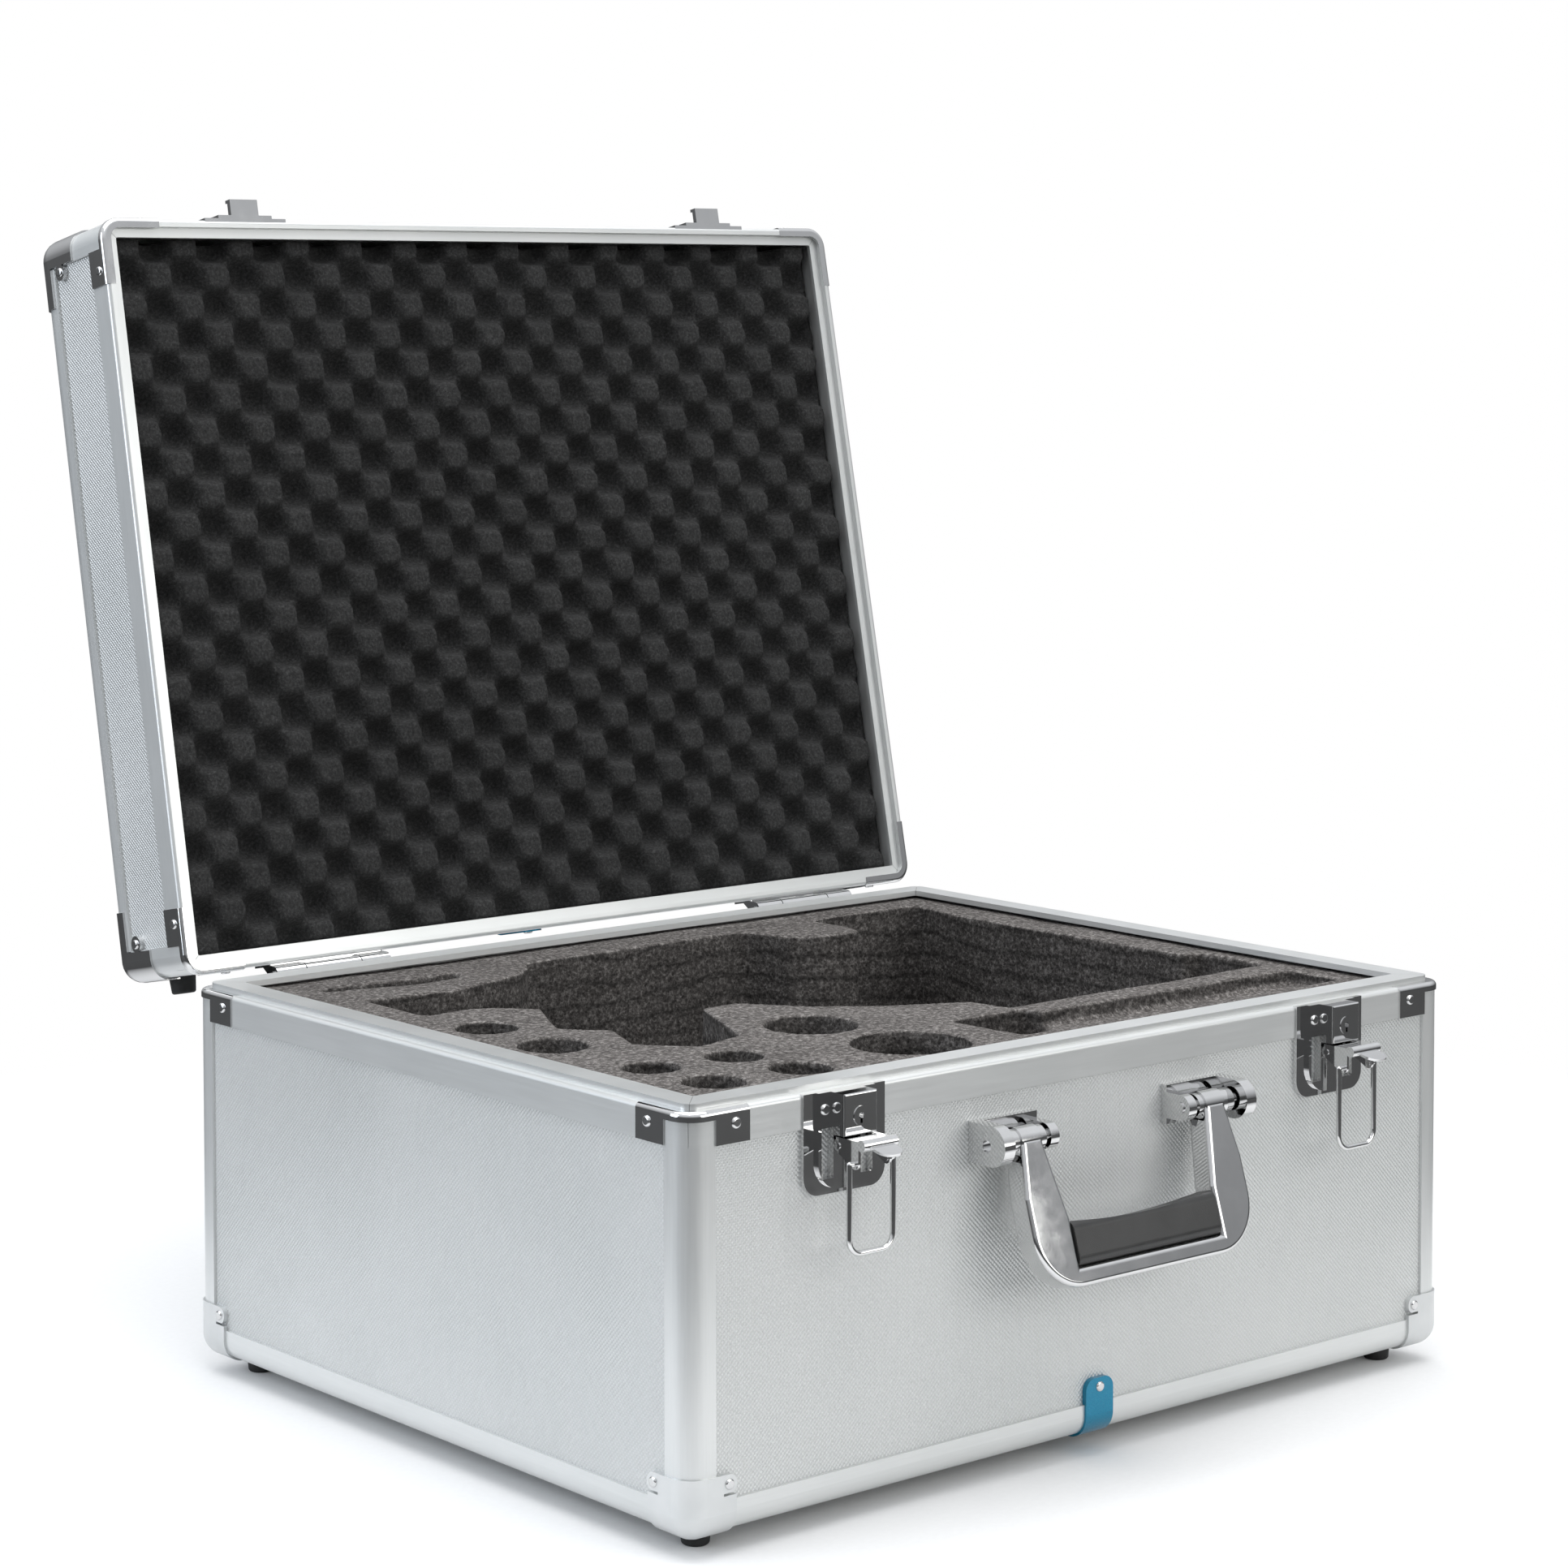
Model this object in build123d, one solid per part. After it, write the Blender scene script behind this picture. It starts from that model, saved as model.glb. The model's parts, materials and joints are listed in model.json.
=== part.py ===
from build123d import *
from math import atan2, degrees, hypot
import os

# An aluminium-framed transport case with its lid open.
# Millimetres, +Z up, front towards -Y. Every part is drawn about the middle of the base, on the floor.
# At the end all of them move forward, which puts the origin under the middle of the open case.
# "Out" is the distance beyond the front rails. Lid parts are drawn shut and then swung open.

# ---------------------------------------------------------------- driving dimensions
CASE_W = 520.0  # over the rails, along X
CASE_D = 410.0  # over the rails, along Y
ORIGIN_BACK = 60.0  # from the middle of the base back to the middle of the open case
FOOT_H = 9.5  # floor to the underside of the bottom rails
PARTING_Z = 204.0  # shoulder of the base rim
RIM_GAP = 0.6  # between the two rims when shut
LID_H = 71.9  # lid rim to lid top
LID_OPEN = 101.5  # degrees from shut to the open stop

# extrusions and panels
EDGE_R = 11.0  # outside rounding of every edge of the case
LEG = 16.5  # width of an edge extrusion's legs
SKIN = 1.5  # extrusion metal outside a panel
PANEL_T = 4.0
FLANGE = 1.2  # extrusion metal inside a panel
RIM_LEG = 16.0  # height of a rim extrusion
RIM_W = 9.7  # width of a rim across its mating face
RIM_WEB = 3.0  # metal over the top of the base rim
LID_RIM_WEB = 5.4
LIP_R = 2.2  # rounding of a rim's outer edge
TONGUE_IN = 5.0  # outer face of the case to the tongue
TONGUE_W = 2.5
TONGUE_H = 3.0
GROOVE_PLAY = 0.8
INNER_LIP_H = 11.0
MITRE = 0.2  # saw gap where two rim pieces meet

# corner hardware
CLIP_T = 0.8
CLIP_OVER = 0.25  # clip metal over the rim's mating face
CLIP_NEAR, CLIP_FAR = 16.0, 36.0  # a clip's flap, from the corner
CLIP_WRAP_H = 4.5
CAST_T = 1.2
CAST_REACH = 27.5
CAST_BODY = 20.0
CAST_H = 27.9
CAST_WEB = 1.0  # casting metal between the bottom rails and a corner post
CAST_SLOT_LOW, CAST_SLOT_HIGH = 18.9, 20.1  # slot under an ear, above the case bottom
EAR_R = 4.5
EAR_AT = 23.3  # ear rivet, from the corner
EAR_UP = 24.1  # ear rivet, from the closed end of the case
BALL_REACH = 38.0
BALL_BODY = 16.0
BALL_H = 37.5
BALL_BAND = 14.0
BALL_EAR_AT = 20.0
FLAT_REACH = 15.0  # how far corner pieces run in over the top or bottom face

# clamps, feet, rivets
CLAMP_W = 18.7
CLAMP_UP = 29.1
CLAMP_TIP_R = 6.0
FOOT_R_TOP, FOOT_R_TIP = 7.5, 6.5
FOOT_INSET = 24.0
BACK_FOOT_X, BACK_FOOT_Z = 224.0, 36.0  # on the base, clear of the castings
BACK_FOOT_UP = 46.0  # on the lid, above the parting, drawn shut
SHANK_R = 1.2
RIVET_R, RIVET_H = 2.6, 1.0
CLIP_RIVET_AT, CLIP_RIVET_UP = 27.8, 7.0  # from the corner, from the rim
CLAMP_RIVET_UP = 24.5
LATCH_RIVET_X, LATCH_RIVET_Z = 13.5, 196.2
KEEPER_RIVET_UP = 12.0
HINGE_RIVET_X = (-28.0, -10.0, 10.0, 28.0)  # from the middle of a hinge
HINGE_RIVET_UP, HINGE_RIVET_DOWN = 12.0, 14.0

# hinges
HINGE_X = 170.0
HINGE_OUT = 5.3  # hinge axis behind the rear rails
HINGE_L = 74.0
KNUCKLE_R = 4.0
KNUCKLE_HALF = 17.7  # half of the middle knuckle
KNUCKLE_PLAY = 0.6
PIN_R = 1.5
PIN_PLAY = 0.05
LEAF_T = 1.2
LEAF_H = 15.5
LEAF_LOW, LEAF_HIGH = -18.0, 3.5  # lower edges of the base leaf and the lid leaf, from the parting

# latches
LATCH_X = 167.5
PLATE_W, PLATE_LOW, PLATE_R = 50.0, 156.5, 9.0
BODY_W, BODY_LOW, BODY_OUT, BODY_R = 35.0, 158.5, 3.0, 13.0
LUG_R, LUG_NEAR, LUG_FAR = 2.2, 5.5, 7.5  # pin lugs, from the middle of the latch
SLOT_W, SLOT_H, SLOT_X, SLOT_Z = 7.2, 23.5, 12.0, 175.75  # slots for the lever's cheeks
WINDOW_W, WINDOW_H, WINDOW_Z = 5.2, 9.2, 182.0  # hole for the lever's lug
BOX_W, BOX_LOW, BOX_OUT, BOX_WALL, BOX_R = 20.0, 184.5, 12.5, 1.2, 0.8
BOX_SLOT_OUT = 9.9  # depth of the slot in the lock box's floor
LEVER_OUT, LEVER_Z = 8.5, 180.0  # lever pin
BAIL_OUT, BAIL_DOWN = 11.0, 6.5  # bail pivot from the lever pin, lever open
CHEEK_NEAR, CHEEK_FAR = 9.0, 10.4  # lever cheeks, from the middle of the latch
LUG_W = 4.0  # the lever's own lug, which the cam blocks
COVER_MID, COVER_L, COVER_UP, COVER_T = 6.25, 15.5, 3.3, 1.4  # over the cheeks, from the pin
CHEEK_L, CHEEK_UP = 15.0, 2.6
BARREL_OUT, BARREL_UP, BARREL_R = 15.5, 2.3, 2.7
TONGUE_ROOT, TONGUE_TIP = (16.0, 2.0), (28.0, -1.0)  # out and up from the pin
TONGUE_W, TONGUE_T, TONGUE_R = 14.0, 1.2, 6.0
LUG_HUB_R, LUG_NECK_W, LUG_NECK_H, LUG_NECK_OUT = 2.8, 4.0, 3.2, 1.0
NOSE_L, NOSE_T, NOSE_DOWN = 8.0, 2.0, 0.5  # the lug's nose, inwards from the pin
PIN_HALF = 10.9
WIRE_R = 1.4
BAIL_HALF = 13.5
BAIL_L = 41.5
BAIL_BEND = 7.0
BAIL_END = 8.7  # inner ends of the wire, from the middle of the latch
PLUG_R, PLUG_Z, PLUG_PROUD = 4.5, 193.3, 0.4
KEY_R, KEY_W, KEY_H, KEY_DEEP = 1.5, 1.3, 3.0, 3.0
CAM_L, CAM_T, CAM_OUT, CAM_TIP_R = 7.2, 1.6, 4.6, 2.0
KEEPER_W, KEEPER_H, KEEPER_R, KEEPER_UP = 53.0, 17.0, 9.0, 0.4
KEEPER_BODY_H, KEEPER_BODY_R = 15.0, 7.0
HOOK_HALF, HOOK_TOP, LIP_TOP = 9.0, 207.9, 209.6
HOOK_OUT, LIP_OUT = 12.0, 10.2  # outer and inner face of the hook's lip

# handle
PIVOT_OUT, PIVOT_Z = 11.5, 167.0
HANDLE_TILT = 17.0  # the bow hangs this far off upright, on its stop
BRACKET_IN, BRACKET_FAR = 45.0, 87.0
BRACKET_LOW, BRACKET_H, BRACKET_T = 157.5, 19.5, 2.5
OUTER_LUG_NEAR, OUTER_LUG_OUT = 80.0, 24.0
INNER_LUG_FAR, INNER_LUG_R = 50.5, 6.5
PIVOT_R = 3.0
PIVOT_ENDS = (44.2, 84.0)  # a pivot pin, from the middle of the handle
BOW_T, BOW_L, BOW_ROUND, BOW_EDGE = 13.5, 72.8, 27.0, 2.5
BOW_TOP, BOW_HALF, BOW_SHOULDER = 70.0, 74.4, 28.0
MOUTH_TOP, MOUTH_HALF, MOUTH_WAIST, MOUTH_L = 57.0, 49.0, 40.0, 63.5
HUB_R, HUB_ENDS = 6.0, (53.0, 78.0)
HEEL_ENDS, HEEL_OUT, HEEL_Z = (60.0, 67.0), (2.8, 9.0), (158.5, 163.0)
GRIP_TOP, GRIP_LOW, GRIP_HALF = -41.5, -63.4, 48.9  # from the pivot, the handle upright
GRIP_T, GRIP_R = 15.0, 5.0
GRIP_DIP, GRIP_DIP_R = 3.0, 393.0

# foam
FOAM_IN = 10.0  # outer face of the case to the foam
FOAM_TOP = 203.0
FOAM_CORNER_R = 4.0
PAD_TOP = 40.0
SHELF_DEEP, SLIT_DEEP, CHANNEL_DEEP = 32.0, 20.0, 8.0
WELL_DEEP, WIDE_WELL_DEEP, WIDEST_WELL_DEEP = 40.0, 50.0, 60.0
LID_FOAM_LOW = 212.0

# ---------------------------------------------------------------- derived
HALF_W, HALF_D = CASE_W / 2, CASE_D / 2
LID_Z = PARTING_Z + RIM_GAP
LID_TOP = LID_Z + LID_H
WALL = SKIN + PANEL_T + FLANGE
HINGE_AXIS = Axis((0, HALF_D + HINGE_OUT, PARTING_Z), (1, 0, 0))
CORNERS = [(1, 1), (-1, 1), (-1, -1), (1, -1)]
LATCH_RIVETS = [x + dx for x in (-LATCH_X, LATCH_X) for dx in (-LATCH_RIVET_X, LATCH_RIVET_X)]
HINGE_RIVETS = [x + dx for x in (-HINGE_X, HINGE_X) for dx in HINGE_RIVET_X]
EPS = 0.01
REACH = 100.0  # longer than any cut that uses it

NODES = {}


# ---------------------------------------------------------------- small helpers
def box(x, y, z):
    """A block from three (low, high) spans."""
    spans = (x, y, z)
    centre = [(low + high) / 2 for low, high in spans]
    size = [high - low for low, high in spans]
    return Pos(*centre) * Box(*size)


def group(solids):
    """Separate solids that share one node."""
    return Compound(children=list(solids))


def swung_open(shape):
    """A lid part, from shut to the open stop."""
    return shape.rotate(HINGE_AXIS, -LID_OPEN)


def moved_forward(shape):
    """A node's solids where the origin wants them, under the middle of the open case."""
    return group(Pos(0, -ORIGIN_BACK, 0) * solid for solid in shape.solids())


def at_all_corners(piece):
    """A piece made for the +X +Y corner, at the four corners."""
    right = [piece, mirror(piece, about=Plane.XZ)]
    return right + [mirror(part, about=Plane.YZ) for part in right]


def front_back(piece):
    """A piece made for the front, and its twin at the rear."""
    return [piece, mirror(piece, about=Plane.XZ)]


def facing(sketch, x, z, out, thickness, side=-1):
    """A sketch drawn as seen from outside, standing on the front (side -1) or rear face."""
    face = Plane((x, side * (HALF_D + out), z), x_dir=(-side, 0, 0), z_dir=(0, side, 0))
    return extrude(face * sketch, thickness)


def across(sketch, x_low, x_high):
    """A section drawn in (out, z) at the front, run along X."""
    plane = Plane((x_high, -HALF_D, 0), x_dir=(0, -1, 0), z_dir=(-1, 0, 0))
    return extrude(plane * sketch, x_high - x_low)


def hull(*sketches):
    """The smallest convex outline round some sketches."""
    edges = [edge for sketch in sketches for edge in sketch.edges()]
    return make_hull(edges)


def rod(x_low, x_high, out, z, radius):
    """A round bar along X at the front."""
    return across(Pos(out, z) * Circle(radius), x_low, x_high)


# ---------------------------------------------------------------- case forms
def plan(inset):
    """The rounded plan of the case, moved inwards."""
    radius = max(EDGE_R - inset, FLANGE)
    return RectangleRounded(CASE_W - 2 * inset, CASE_D - 2 * inset, radius)


def ring(inset, width, z_low, z_high):
    """A band that follows the plan of the case."""
    return extrude(Pos(0, 0, z_low) * (plan(inset) - plan(inset + width)), z_high - z_low)


def case_form(growth, end_z, mouth_z):
    """Half of the case as a solid block, rounded everywhere but at its mouth."""
    up = 1 if end_z > mouth_z else -1
    end_z += up * growth
    low, high = sorted((end_z, mouth_z))
    block = box((-HALF_W - growth, HALF_W + growth), (-HALF_D - growth, HALF_D + growth), (low, high))
    end_face = block.faces().sort_by(Axis.Z)[-1 if up > 0 else 0]
    edges = block.edges().filter_by(Axis.Z) + end_face.edges()
    return fillet(edges, EDGE_R + growth)


def base_form(growth):
    return case_form(growth, FOOT_H, PARTING_Z)


def lid_form(growth):
    return case_form(growth, LID_TOP, LID_Z)


# ---------------------------------------------------------------- extrusions
def edge_section():
    """An edge extrusion: a rounded corner at the origin, with a panel slot in each leg."""
    corner = Pos(-LEG / 2, -LEG / 2) * Rectangle(LEG, LEG)
    corner = fillet(corner.vertices().sort_by_distance((0, 0))[0], EDGE_R)
    inside = LEG - WALL
    corner -= Pos(-LEG + inside / 2, -LEG + inside / 2) * Rectangle(inside, inside)
    slot_l = LEG - EDGE_R
    slot_at = (-LEG + slot_l / 2, -SKIN - PANEL_T / 2)
    corner -= Pos(*slot_at) * Rectangle(slot_l, PANEL_T)
    corner -= Pos(*reversed(slot_at)) * Rectangle(PANEL_T, slot_l)
    return corner


def edge_bar(centre, out_a, out_b, length):
    """An edge extrusion centred on a point of the case's sharp edge."""
    along = Vector(*out_a).cross(Vector(*out_b))
    return extrude(Plane(centre, x_dir=out_a, z_dir=along) * edge_section(), length / 2, both=True)


def end_rails(z, up):
    """The four extrusions round the bottom of the base or the top of the lid."""
    rails = []
    for side in (-1, 1):
        rails.append(edge_bar((0, side * HALF_D, z), (0, side, 0), (0, 0, up), CASE_W - 2 * LEG))
        rails.append(edge_bar((side * HALF_W, 0, z), (side, 0, 0), (0, 0, up), CASE_D - 2 * LEG))
    return rails


def corner_posts(z_low, z_high):
    middle, length = (z_low + z_high) / 2, z_high - z_low
    return [
        edge_bar((sx * HALF_W, sy * HALF_D, middle), (sx, 0, 0), (0, sy, 0), length)
        for sx, sy in CORNERS
    ]


def mitred(rim):
    """A rim cut into its four pieces."""
    for sx, sy in CORNERS:
        saw = Rot(0, 0, 45 * sx * sy) * Box(REACH, MITRE, REACH)
        rim -= Pos(sx * HALF_W, sy * HALF_D, PARTING_Z) * saw
    return rim.solids()


def base_rim():
    """The base rim: panel channel below, rounded lip, tongue and inner lip."""
    low, web = PARTING_Z - RIM_LEG, PARTING_Z - RIM_WEB
    rim = ring(0, SKIN, low, PARTING_Z) + ring(0, RIM_W, web, PARTING_Z)
    rim = fillet(rim.faces().sort_by(Axis.Z)[-1].outer_wire().edges(), LIP_R)
    rim += ring(TONGUE_IN, TONGUE_W, PARTING_Z - EPS, PARTING_Z + TONGUE_H)
    rim += ring(SKIN + PANEL_T, FLANGE, low, web)
    rim += ring(RIM_W - FLANGE, FLANGE, PARTING_Z - INNER_LIP_H, web)
    return mitred(rim)


def lid_rim():
    """The lid rim, drawn shut: the same lip, with a groove over the tongue."""
    web, high = LID_Z + LID_RIM_WEB, LID_Z + RIM_LEG
    rim = ring(0, SKIN, LID_Z, high) + ring(0, RIM_W, LID_Z, web)
    rim = fillet(rim.faces().sort_by(Axis.Z)[0].outer_wire().edges(), LIP_R)
    groove_w = TONGUE_W + 2 * GROOVE_PLAY
    groove_top = PARTING_Z + TONGUE_H + GROOVE_PLAY
    rim -= ring(TONGUE_IN - GROOVE_PLAY, groove_w, LID_Z - EPS, groove_top)
    rim += ring(SKIN + PANEL_T, FLANGE, web, high)
    return mitred(rim)


# ---------------------------------------------------------------- panels
def wall_panels(z_low, z_high):
    """Front, rear, left and right panels, seated in their slots."""
    far_y, near_y = HALF_D - SKIN, HALF_D - SKIN - PANEL_T
    far_x, near_x = HALF_W - SKIN, HALF_W - SKIN - PANEL_T
    half_x, half_y = HALF_W - EDGE_R, HALF_D - EDGE_R
    z = (z_low, z_high)
    return {
        "front": box((-half_x, half_x), (-far_y, -near_y), z),
        "rear": box((-half_x, half_x), (near_y, far_y), z),
        "left": box((-far_x, -near_x), (-half_y, half_y), z),
        "right": box((near_x, far_x), (-half_y, half_y), z),
    }


def end_panel(z_low):
    half_x, half_y = HALF_W - EDGE_R, HALF_D - EDGE_R
    return box((-half_x, half_x), (-half_y, half_y), (z_low, z_low + PANEL_T))


# ---------------------------------------------------------------- corner hardware
def corner_box(near_x, far_x, near_y, far_y, z_low, z_high):
    """A block given by distances from the +X +Y corner."""
    return box((HALF_W - far_x, HALF_W - near_x), (HALF_D - far_y, HALF_D - near_y), (z_low, z_high))


def ear_disc(at, z, on_side):
    """A disc through a corner piece's ear, on the rear face or on the side face."""
    disc = Cylinder(EAR_R, 2 * FLAT_REACH)
    if on_side:
        return Pos(HALF_W, HALF_D - at, z) * Rot(0, 90, 0) * disc
    return Pos(HALF_W - at, HALF_D, z) * Rot(90, 0, 0) * disc


def casting_region():
    """Where a bottom corner casting covers the case."""
    z = FOOT_H
    past, edge = -2 * CAST_T, FLAT_REACH
    region = corner_box(past, CAST_BODY, past, edge, z - CAST_T, z + CAST_H)
    region += corner_box(past, CAST_REACH, past, edge, z - CAST_T, z + CAST_SLOT_LOW)
    ear_z = (z + CAST_SLOT_HIGH, z + EAR_UP + EAR_R)
    region += corner_box(past, EAR_AT, past, edge, *ear_z)
    ear = ear_disc(EAR_AT, z + EAR_UP, False)
    region += ear & corner_box(past, CAST_REACH + EAR_R, past, edge, *ear_z)
    swapped = mirror(region, about=Plane((HALF_W, HALF_D, 0), z_dir=(1, -1, 0)))
    return region + swapped


def ball_region(rear_ear):
    """Where a lid corner covers the case, drawn shut. The back feet take the place of rear ears."""
    top = LID_TOP + CAST_T
    past, edge = -2 * CAST_T, FLAT_REACH
    arm = corner_box(past, BALL_BODY, past, edge, LID_TOP - BALL_H, top)
    arm += corner_box(past, BALL_REACH, past, edge, LID_TOP - BALL_BAND, top)
    eared = arm + (ear_disc(BALL_EAR_AT, LID_TOP - EAR_UP, False) & corner_box(
        past, BALL_REACH, past, edge, LID_TOP - BALL_H, top))
    diagonal = Plane((HALF_W, HALF_D, 0), z_dir=(1, -1, 0))
    return (eared if rear_ear else arm) + mirror(eared, about=diagonal)


def lip_form(growth, over, radius):
    """The top of the base with its rounded lip, as a block."""
    block = extrude(Pos(0, 0, PARTING_Z - RIM_LEG) * plan(-growth), RIM_LEG + over)
    return fillet(block.faces().sort_by(Axis.Z)[-1].edges(), radius)


def base_clip():
    """The chrome clip on the +X +Y corner of the base rim."""
    low, high = PARTING_Z - RIM_LEG, PARTING_Z + CLIP_OVER
    past = -2 * CLIP_T
    wrap = corner_box(past, CLIP_FAR, past, CLIP_FAR, high - CLIP_WRAP_H, high)
    flap_a = corner_box(CLIP_NEAR, CLIP_FAR, past, SKIN, low, high)
    flap_b = corner_box(past, SKIN, CLIP_NEAR, CLIP_FAR, low, high)
    shell = lip_form(CLIP_T, CLIP_OVER, LIP_R + CLIP_OVER) - lip_form(0, 0, LIP_R)
    shell -= extrude(Pos(0, 0, low) * plan(TONGUE_IN - CLIP_OVER), 2 * RIM_LEG)
    return (shell & (wrap + flap_a + flap_b)).solid()


# ---------------------------------------------------------------- clamps and feet
def clamp_region(end_z, up):
    """Where a blue clamp covers the front edge. `up` is -1 at the bottom of the base."""
    tip_z = end_z - up * CLAMP_UP
    tongue = Rectangle(CLAMP_W, CLAMP_UP + CAST_T)
    tongue = fillet(tongue.vertices().group_by(Axis.Y)[0 if up > 0 else -1], CLAMP_TIP_R)
    middle = (tip_z + end_z + up * CAST_T) / 2
    return facing(tongue, 0, middle, -LEG, LEG + CAST_T)


def foot(seat, outward):
    """A tapered rubber foot on a panel."""
    length = FOOT_H + SKIN
    body = Pos(0, 0, length / 2) * Cone(FOOT_R_TOP, FOOT_R_TIP, length)
    body = fillet(body.edges().sort_by(Axis.Z)[-1], SKIN)
    return Plane(seat, z_dir=outward) * body


# ---------------------------------------------------------------- rivets
def rivet(seat, outward, depth):
    head = Pos(0, 0, RIVET_H / 2) * Cylinder(RIVET_R, RIVET_H)
    head = fillet(head.edges().sort_by(Axis.Z)[-1], RIVET_H - EPS)
    shank = Pos(0, 0, -depth / 2) * Cylinder(SHANK_R, depth)
    return Plane(seat, z_dir=outward) * (head + shank)


def shank(seat, outward, depth):
    return Plane(seat, z_dir=outward) * (Pos(0, 0, -depth / 2) * Cylinder(SHANK_R, depth))


def corner_rivets(at, z, proud, rear=True):
    """Rivets on both faces of every corner, at one height."""
    depth = proud + SKIN + PANEL_T + FLANGE / 2
    spots = []
    for sx, sy in CORNERS:
        spots.append(((sx * (HALF_W + proud), sy * (HALF_D - at), z), (sx, 0, 0), depth))
        if rear or sy < 0:
            spots.append(((sx * (HALF_W - at), sy * (HALF_D + proud), z), (0, sy, 0), depth))
    return spots


def face_rivets(xs, z, proud, side=-1):
    """A row of rivets on the front or rear face."""
    depth = proud + SKIN + PANEL_T + FLANGE / 2
    return [((x, side * (HALF_D + proud), z), (0, side, 0), depth) for x in xs]


def drilled(piece, spots):
    """A piece with holes for its body's rivets."""
    return piece - [shank(*spot) for spot in spots]


# ---------------------------------------------------------------- hinges
def leaf(x, low_z, toward, spans):
    """A hinge leaf on the rear face with knuckles over some spans of X."""
    plate_z = (low_z, low_z + LEAF_H)
    plate = box((x - HINGE_L / 2, x + HINGE_L / 2), (HALF_D - SKIN, HALF_D + LEAF_T), plate_z)
    plate = fillet(plate.edges().filter_by(Axis.Y), LEAF_T)
    barrel = Pos(HINGE_OUT, PARTING_Z) * Circle(KNUCKLE_R)
    root_z = PARTING_Z + toward * (2 * KNUCKLE_R)
    root = Pos(LEAF_T / 2, root_z) * Rectangle(LEAF_T, KNUCKLE_R)
    section = hull(barrel, root)
    for low, high in spans:
        knuckle = mirror(across(section, x + low, x + high), about=Plane.XZ)
        plate += knuckle
    return plate


def hinge_hole(x, play):
    bar = rod(x - HINGE_L, x + HINGE_L, HINGE_OUT, PARTING_Z, PIN_R + play)
    return mirror(bar, about=Plane.XZ)


def hinge_pin(x):
    half = HINGE_L / 2 + 1
    return mirror(rod(x - half, x + half, HINGE_OUT, PARTING_Z, PIN_R), about=Plane.XZ)


# ---------------------------------------------------------------- latches
def latch_plate(x):
    """The latch's base plate with its raised body, slots for the lever and two pin lugs."""
    skirt = Rectangle(PLATE_W, PARTING_Z - PLATE_LOW)
    skirt = fillet(skirt.vertices().group_by(Axis.Y)[0], PLATE_R)
    body = Rectangle(BODY_W, PARTING_Z - BODY_LOW)
    body = fillet(body.vertices().group_by(Axis.Y)[0], BODY_R)
    plate = facing(skirt, x, (PARTING_Z + PLATE_LOW) / 2, -SKIN, SKIN + LEAF_T)
    plate += facing(body, x, (PARTING_Z + BODY_LOW) / 2, -SKIN, SKIN + BODY_OUT)
    foot_h = 3 * BODY_OUT / 2
    lug = hull(
        Pos(LEVER_OUT, LEVER_Z) * Circle(LUG_R),
        Pos(BODY_OUT - LUG_R / 2, LEVER_Z - 1) * Rectangle(LUG_R, foot_h),
    )
    for low, high in ((-LUG_FAR, -LUG_NEAR), (LUG_NEAR, LUG_FAR)):
        plate += across(lug, x + low, x + high)
    through = (-LEG, LEG + BODY_OUT + 1)
    for side in (-1, 1):
        plate -= facing(Rectangle(SLOT_W, SLOT_H), x + side * SLOT_X, SLOT_Z, *through)
    plate -= facing(Rectangle(WINDOW_W, WINDOW_H), x, WINDOW_Z, *through)
    plate -= rod(x - CHEEK_NEAR, x + CHEEK_NEAR, LEVER_OUT, LEVER_Z, PIN_R)
    return plate


def lock_box(x):
    """The hollow box that carries the lock plug. Its floor is slotted for the lever's lug."""
    middle = (BOX_LOW + PARTING_Z) / 2
    height, depth = PARTING_Z - BOX_LOW, BOX_OUT - BODY_OUT
    shell = facing(Rectangle(BOX_W, height), x, middle, BODY_OUT, depth)
    shell = fillet(shell.faces().sort_by(Axis.Y)[0].edges(), BOX_R)
    inside = Rectangle(BOX_W - 2 * BOX_WALL, height - 2 * BOX_WALL)
    shell -= facing(inside, x, middle, BODY_OUT - 1, depth + 1 - BOX_WALL)
    shell -= facing(Circle(PLUG_R + PIN_PLAY), x, PLUG_Z, BODY_OUT, REACH)
    floor_slot = box(
        (x - WINDOW_W / 2, x + WINDOW_W / 2),
        (-HALF_D - BOX_SLOT_OUT, -HALF_D - BODY_OUT + 1),
        (BOX_LOW - 1, BOX_LOW + 2 * BOX_WALL),
    )
    return shell - floor_slot


def lock_plug(x):
    """The key plug with its keyhole, and the cam behind it, which points to +X unlocked."""
    back = CAM_OUT + CAM_T
    plug = facing(Circle(PLUG_R), x, PLUG_Z, back, BOX_OUT + PLUG_PROUD - back)
    key = Circle(KEY_R) + Pos(0, -2 * KEY_H / 3) * Rectangle(KEY_W, KEY_H)
    plug -= facing(key, x, PLUG_Z, BOX_OUT - KEY_DEEP, KEY_DEEP + 1)
    cam = hull(Circle(PLUG_R), Pos(CAM_L - CAM_TIP_R, 0) * Circle(CAM_TIP_R))
    return plug + facing(cam, x, PLUG_Z, CAM_OUT, CAM_T)


def lever_section():
    """The lever's cover, barrel and finger tongue in (out, up) from its pin, lever open."""
    cover = Pos(COVER_MID, COVER_UP) * Rectangle(COVER_L, COVER_T)
    barrel = Pos(BARREL_OUT, BARREL_UP) * Circle(BARREL_R)
    return cover + barrel


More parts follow.
